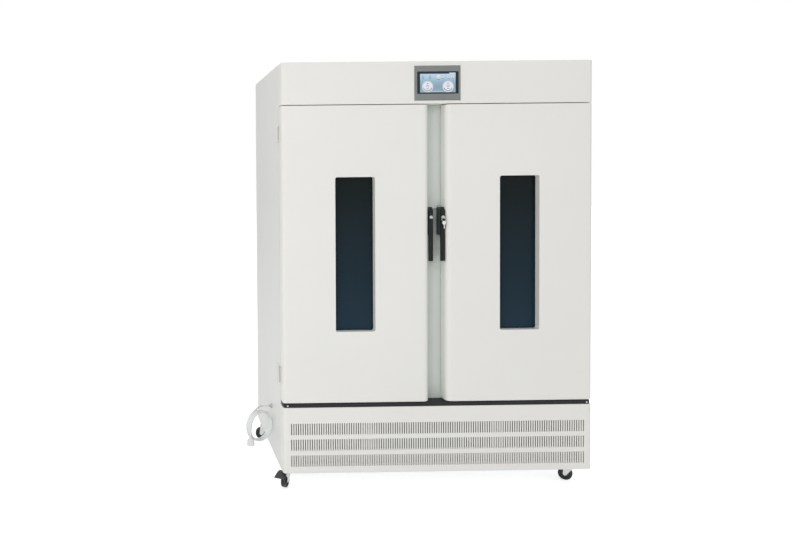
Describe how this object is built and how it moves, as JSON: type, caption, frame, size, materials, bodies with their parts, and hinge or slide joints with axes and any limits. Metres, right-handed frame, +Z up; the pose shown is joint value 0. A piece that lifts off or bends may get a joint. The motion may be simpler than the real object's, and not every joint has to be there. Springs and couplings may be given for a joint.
{
  "type": "environmental test chamber",
  "caption": "Tall two-door environmental test chamber with windows, touch panel, slotted base, casters and a coiled mains cord.",
  "frame": {"origin": "on the floor, below the middle of the cabinet's plan", "axes": "+X to the right seen from the front, +Y to the back, +Z up"},
  "size_m": [1.5687, 0.8912, 1.95],
  "materials": {
    "enclosure_white": "satin",
    "side_white": "satin",
    "galvanised": "satin",
    "face_grey": "satin",
    "liner_steel": "satin",
    "foam": "matte",
    "threshold_dark": "satin",
    "bezel_grey": "satin",
    "screen_glass": "gloss",
    "gasket_rubber": "matte",
    "window_glass": "gloss",
    "handle_silver": "satin",
    "housing_slate": "satin",
    "lock_steel": "polished",
    "hinge_steel": "satin",
    "zinc_steel": "satin",
    "wheel_black": "satin",
    "pedal_black": "satin",
    "shelf_steel": "satin",
    "fan_plastic": "matte",
    "compressor_black": "satin",
    "cord_white": "satin",
    "gland_grey": "matte",
    "plug_white": "satin"
  },
  "bodies": {
    "cabinet": {"air_duct": "liner_steel", "back_panel": "galvanised", "base_frame": "galvanised", "base_front": "enclosure_white", "cable_gland": "gland_grey", "chamber_liner": "liner_steel", "condensing_unit": "compressor_black", "cord_coil": "cord_white", "cord_lead": "cord_white", "cord_tail": "cord_white", "face_frame": "face_grey", "header_panel": "enclosure_white", "hinge_cabinet_left_lower": "hinge_steel", "hinge_cabinet_left_upper": "hinge_steel", "hinge_cabinet_right_lower": "hinge_steel", "hinge_cabinet_right_upper": "hinge_steel", "insulation": "foam", "latch_strike": "zinc_steel", "power_plug": "plug_white", "shelf_left_1": "shelf_steel", "shelf_left_2": "shelf_steel", "shelf_rack": "shelf_steel", "shelf_right_1": "shelf_steel", "shelf_right_2": "shelf_steel", "side_panel_left": "side_white", "side_panel_right": "side_white", "threshold_rail": "threshold_dark", "top_panel": "enclosure_white", "touch_bezel": "bezel_grey", "touch_glass": "screen_glass"},
    "fork_fl": {"caster_fl_fork": "zinc_steel"},
    "pedal_fl": {"caster_fl_pedal": "pedal_black"},
    "wheel_fl": {"caster_fl_wheel": "wheel_black"},
    "fork_fr": {"caster_fr_fork": "zinc_steel"},
    "pedal_fr": {"caster_fr_pedal": "pedal_black"},
    "wheel_fr": {"caster_fr_wheel": "wheel_black"},
    "fork_rl": {"caster_rl_fork": "zinc_steel"},
    "wheel_rl": {"caster_rl_wheel": "wheel_black"},
    "fork_rr": {"caster_rr_fork": "zinc_steel"},
    "wheel_rr": {"caster_rr_wheel": "wheel_black"},
    "door_left": {"door_left_gasket": "gasket_rubber", "door_left_glazing": "window_glass", "door_left_liner": "liner_steel", "door_left_shell": "enclosure_white", "handle_left_housing": "housing_slate", "hinge_door_left_lower": "hinge_steel", "hinge_door_left_upper": "hinge_steel"},
    "door_right": {"door_right_gasket": "gasket_rubber", "door_right_glazing": "window_glass", "door_right_liner": "liner_steel", "door_right_shell": "enclosure_white", "handle_right_housing": "housing_slate", "hinge_door_right_lower": "hinge_steel", "hinge_door_right_upper": "hinge_steel"},
    "fan_left": {"fan_left": "fan_plastic"},
    "fan_right": {"fan_right": "fan_plastic"},
    "lever_left": {"handle_left_lever": "handle_silver"},
    "lock_left": {"handle_left_lock": "lock_steel"},
    "lever_right": {"handle_right_lever": "handle_silver"},
    "lock_right": {"handle_right_lock": "lock_steel"}
  },
  "joints": [
    {"name": "door_left_swing", "type": "hinge", "parent": "cabinet", "child": "door_left", "pos_m": [-0.714, -0.371, 1.0795], "axis": [0, 0, -1], "range_deg": [0, 120]},
    {"name": "lever_left_pull", "type": "hinge", "parent": "door_left", "child": "lever_left", "pos_m": [-0.027, -0.411, 1.283], "axis": [-1, 0, 0], "range_deg": [0, 35]},
    {"name": "lock_left_turn", "type": "hinge", "parent": "lever_left", "child": "lock_left", "pos_m": [-0.027, -0.4325, 1.248], "axis": [0, -1, 0], "range_deg": [0, 90]},
    {"name": "door_right_swing", "type": "hinge", "parent": "cabinet", "child": "door_right", "pos_m": [0.714, -0.371, 1.0795], "axis": [0, 0, 1], "range_deg": [0, 120]},
    {"name": "lever_right_pull", "type": "hinge", "parent": "door_right", "child": "lever_right", "pos_m": [0.027, -0.411, 1.283], "axis": [-1, 0, 0], "range_deg": [0, 35]},
    {"name": "lock_right_turn", "type": "hinge", "parent": "lever_right", "child": "lock_right", "pos_m": [0.027, -0.4325, 1.248], "axis": [0, -1, 0], "range_deg": [0, 90]},
    {"name": "caster_fl_swivel", "type": "hinge", "parent": "cabinet", "child": "fork_fl", "pos_m": [-0.669, -0.34, 0.075], "axis": [0, 0, 1], "continuous": true},
    {"name": "caster_fl_roll", "type": "hinge", "parent": "fork_fl", "child": "wheel_fl", "pos_m": [-0.68543, -0.36629, 0.031], "axis": [-0.848, 0.5299, 0], "continuous": true},
    {"name": "caster_fl_brake", "type": "hinge", "parent": "fork_fl", "child": "pedal_fl", "pos_m": [-0.6955, -0.3824, 0.069], "axis": [0.848, -0.5299, 0], "range_deg": [0, 14]},
    {"name": "caster_fr_swivel", "type": "hinge", "parent": "cabinet", "child": "fork_fr", "pos_m": [0.669, -0.34, 0.075], "axis": [0, 0, 1], "continuous": true},
    {"name": "caster_fr_roll", "type": "hinge", "parent": "fork_fr", "child": "wheel_fr", "pos_m": [0.64271, -0.32357, 0.031], "axis": [0.5299, 0.848, 0], "continuous": true},
    {"name": "caster_fr_brake", "type": "hinge", "parent": "fork_fr", "child": "pedal_fr", "pos_m": [0.6266, -0.3135, 0.069], "axis": [-0.5299, -0.848, 0], "range_deg": [0, 14]},
    {"name": "caster_rl_swivel", "type": "hinge", "parent": "cabinet", "child": "fork_rl", "pos_m": [-0.669, 0.34, 0.075], "axis": [0, 0, 1], "continuous": true},
    {"name": "caster_rl_roll", "type": "hinge", "parent": "fork_rl", "child": "wheel_rl", "pos_m": [-0.6997, 0.34431, 0.031], "axis": [0.1392, 0.9903, 0], "continuous": true},
    {"name": "caster_rr_swivel", "type": "hinge", "parent": "cabinet", "child": "fork_rr", "pos_m": [0.669, 0.34, 0.075], "axis": [0, 0, 1], "continuous": true},
    {"name": "caster_rr_roll", "type": "hinge", "parent": "fork_rr", "child": "wheel_rr", "pos_m": [0.68543, 0.36629, 0.031], "axis": [0.848, -0.5299, 0], "continuous": true},
    {"name": "fan_left_spin", "type": "hinge", "parent": "cabinet", "child": "fan_left", "pos_m": [-0.31, 0.345, 1.542], "axis": [0, -1, 0], "continuous": true},
    {"name": "fan_right_spin", "type": "hinge", "parent": "cabinet", "child": "fan_right", "pos_m": [0.31, 0.345, 1.542], "axis": [0, -1, 0], "continuous": true}
  ]
}
